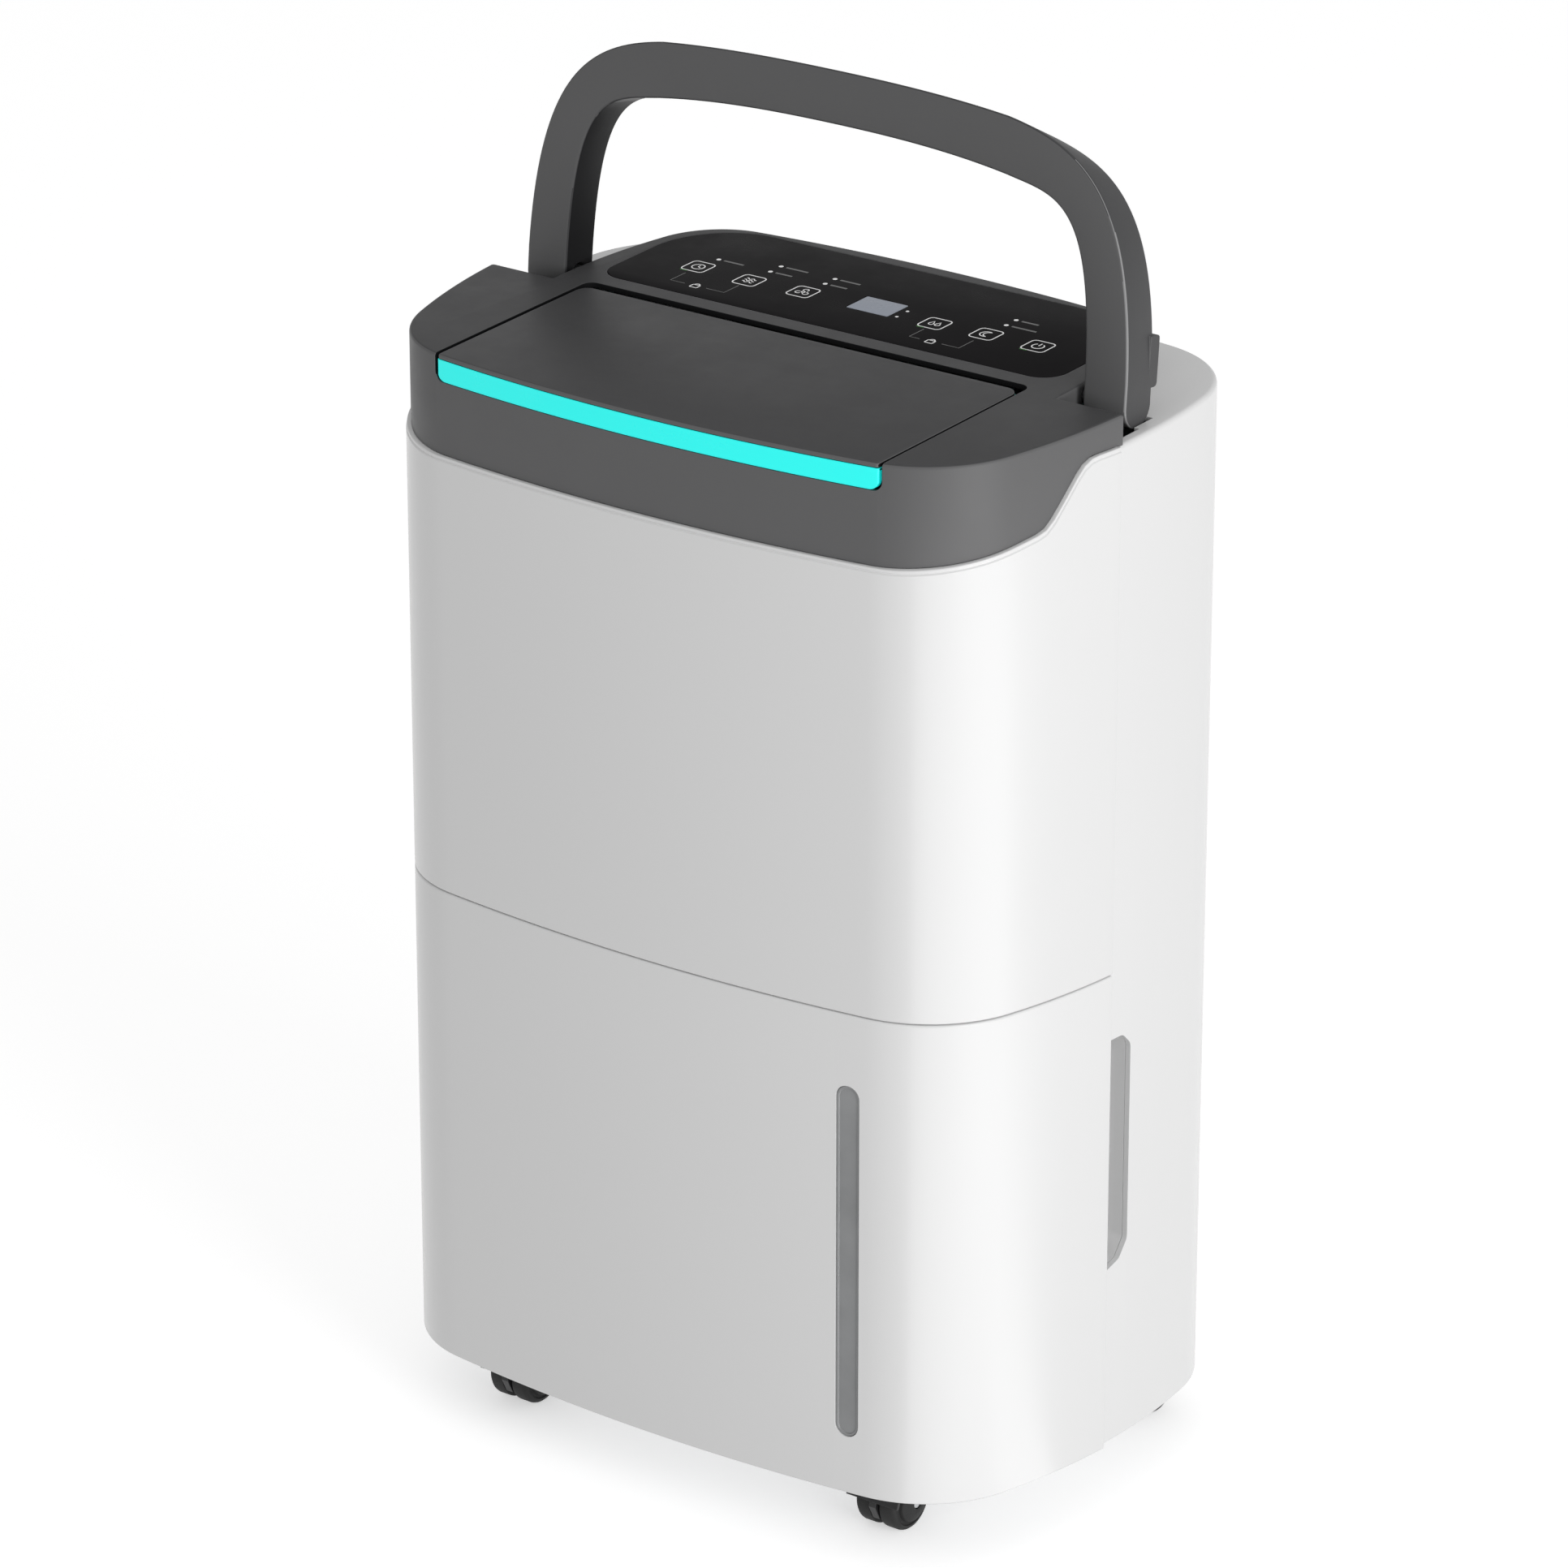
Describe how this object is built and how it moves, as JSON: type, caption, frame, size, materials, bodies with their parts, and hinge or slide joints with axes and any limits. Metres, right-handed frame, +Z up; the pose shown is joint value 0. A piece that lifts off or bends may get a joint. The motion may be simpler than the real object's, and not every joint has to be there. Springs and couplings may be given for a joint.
{
  "type": "dehumidifier",
  "caption": "Portable upright dehumidifier on swivel casters, with a front pull-out water tank, hinged top air flap, touch panel and fold-back carry handle.",
  "frame": {"origin": "on the floor under the middle of the object's outline", "axes": "+Z up, front face and water tank towards -Y, controls towards +Y on top, +X to the right seen from the front"},
  "size_m": [0.3482, 0.237, 0.6361],
  "materials": {
    "white_shell": "satin gloss",
    "charcoal_cap": "fine satin texture",
    "cyan_liner": "smooth satin",
    "black_overlay": "high gloss",
    "display_grey": "smooth",
    "pale_plastic": "moulded matte",
    "tank_clear": "translucent",
    "window_smoke": "smoked translucent",
    "black_plastic": "fine grain",
    "black_rubber": "matte",
    "steel": "brushed",
    "copper": "drawn tube",
    "fin_aluminium": "rolled",
    "compressor_paint": "satin enamel",
    "float_foam": "closed foam",
    "filter_net": "fine woven nylon",
    "board_green": "solder mask"
  },
  "bodies": {
    "housing": {"front_panel": "white_shell", "rear_housing": "white_shell", "grip_cup_left": "white_shell", "grip_cup_right": "white_shell", "top_cover": "charcoal_cap", "control_overlay": "black_overlay", "display_window": "display_grey", "base_pan": "pale_plastic", "fan_scroll": "pale_plastic", "scroll_cover": "pale_plastic", "drip_tray": "pale_plastic", "chassis_shelf": "pale_plastic", "bulkhead": "pale_plastic", "run_capacitor": "pale_plastic", "outlet_grille": "black_plastic", "tank_switch": "black_plastic", "compressor_foot_1": "black_rubber", "compressor_foot_2": "black_rubber", "compressor_foot_3": "black_rubber", "cord_bushing": "black_rubber", "flap_hinge_rod": "steel", "flap_motor": "steel", "handle_pin_left": "steel", "handle_pin_right": "steel", "fan_motor": "steel", "discharge_line": "copper", "suction_line": "copper", "filter_drier": "copper", "evaporator_coil": "fin_aluminium", "condenser_coil": "fin_aluminium", "compressor": "compressor_paint", "control_board": "board_green"},
    "tank": {"tank_front": "white_shell", "tank_bucket": "tank_clear", "tank_lid": "pale_plastic", "water_window": "window_smoke"},
    "float": {"tank_float": "float_foam"},
    "flap": {"outlet_flap": "charcoal_cap", "flap_liner": "cyan_liner"},
    "handle_grip": {"handle": "charcoal_cap"},
    "blower": {"blower_wheel": "black_plastic"},
    "filter": {"filter_frame": "white_shell", "filter_mesh": "filter_net"},
    "drain_stopper": {"drain_plug": "black_rubber"},
    "front_left_swivel": {"caster_front_left_fork": "black_plastic"},
    "front_left_wheels": {"caster_front_left_axle": "steel", "caster_front_left_wheel_inner": "black_rubber", "caster_front_left_wheel_outer": "black_rubber"},
    "front_right_swivel": {"caster_front_right_fork": "black_plastic"},
    "front_right_wheels": {"caster_front_right_axle": "steel", "caster_front_right_wheel_inner": "black_rubber", "caster_front_right_wheel_outer": "black_rubber"},
    "rear_left_swivel": {"caster_rear_left_fork": "black_plastic"},
    "rear_left_wheels": {"caster_rear_left_axle": "steel", "caster_rear_left_wheel_inner": "black_rubber", "caster_rear_left_wheel_outer": "black_rubber"},
    "rear_right_swivel": {"caster_rear_right_fork": "black_plastic"},
    "rear_right_wheels": {"caster_rear_right_axle": "steel", "caster_rear_right_wheel_inner": "black_rubber", "caster_rear_right_wheel_outer": "black_rubber"}
  },
  "joints": [
    {"name": "tank_slide", "type": "slide", "parent": "housing", "child": "tank", "axis": [0, -1, 0], "range_m": [0, 0.25]},
    {"name": "float_swing", "type": "hinge", "parent": "tank", "child": "float", "pos_m": [0.077, -0.026, 0.2], "axis": [-1, 0, 0], "range_deg": [0, 12]},
    {"name": "flap_open", "type": "hinge", "parent": "housing", "child": "flap", "pos_m": [0, -0.012, 0.51], "axis": [-1, 0, 0], "range_deg": [0, 60]},
    {"name": "handle_fold", "type": "hinge", "parent": "housing", "child": "handle_grip", "pos_m": [0, 0.0168, 0.5145], "axis": [-1, 0, 0], "range_deg": [0, 52]},
    {"name": "blower_spin", "type": "hinge", "parent": "housing", "child": "blower", "pos_m": [0, -0.06, 0.38], "axis": [0, 1, 0], "continuous": true},
    {"name": "filter_pull", "type": "slide", "parent": "housing", "child": "filter", "axis": [0, 1, 0], "range_m": [0, 0.03]},
    {"name": "drain_plug_pull", "type": "slide", "parent": "housing", "child": "drain_stopper", "axis": [0.093, 0.9957, 0], "range_m": [0, 0.02]},
    {"name": "front_left_swivel_turn", "type": "hinge", "parent": "housing", "child": "front_left_swivel", "pos_m": [-0.105, -0.084, 0.03], "axis": [0, 0, 1], "continuous": true},
    {"name": "front_left_roll", "type": "hinge", "parent": "front_left_swivel", "child": "front_left_wheels", "pos_m": [-0.105, -0.076, 0.014], "axis": [1, 0, 0], "continuous": true},
    {"name": "front_right_swivel_turn", "type": "hinge", "parent": "housing", "child": "front_right_swivel", "pos_m": [0.105, -0.084, 0.03], "axis": [0, 0, 1], "continuous": true},
    {"name": "front_right_roll", "type": "hinge", "parent": "front_right_swivel", "child": "front_right_wheels", "pos_m": [0.105, -0.076, 0.014], "axis": [1, 0, 0], "continuous": true},
    {"name": "rear_left_swivel_turn", "type": "hinge", "parent": "housing", "child": "rear_left_swivel", "pos_m": [-0.128, 0.078, 0.03], "axis": [0, 0, 1], "continuous": true},
    {"name": "rear_left_roll", "type": "hinge", "parent": "rear_left_swivel", "child": "rear_left_wheels", "pos_m": [-0.128, 0.086, 0.014], "axis": [1, 0, 0], "continuous": true},
    {"name": "rear_right_swivel_turn", "type": "hinge", "parent": "housing", "child": "rear_right_swivel", "pos_m": [0.128, 0.078, 0.03], "axis": [0, 0, 1], "continuous": true},
    {"name": "rear_right_roll", "type": "hinge", "parent": "rear_right_swivel", "child": "rear_right_wheels", "pos_m": [0.128, 0.086, 0.014], "axis": [1, 0, 0], "continuous": true}
  ]
}
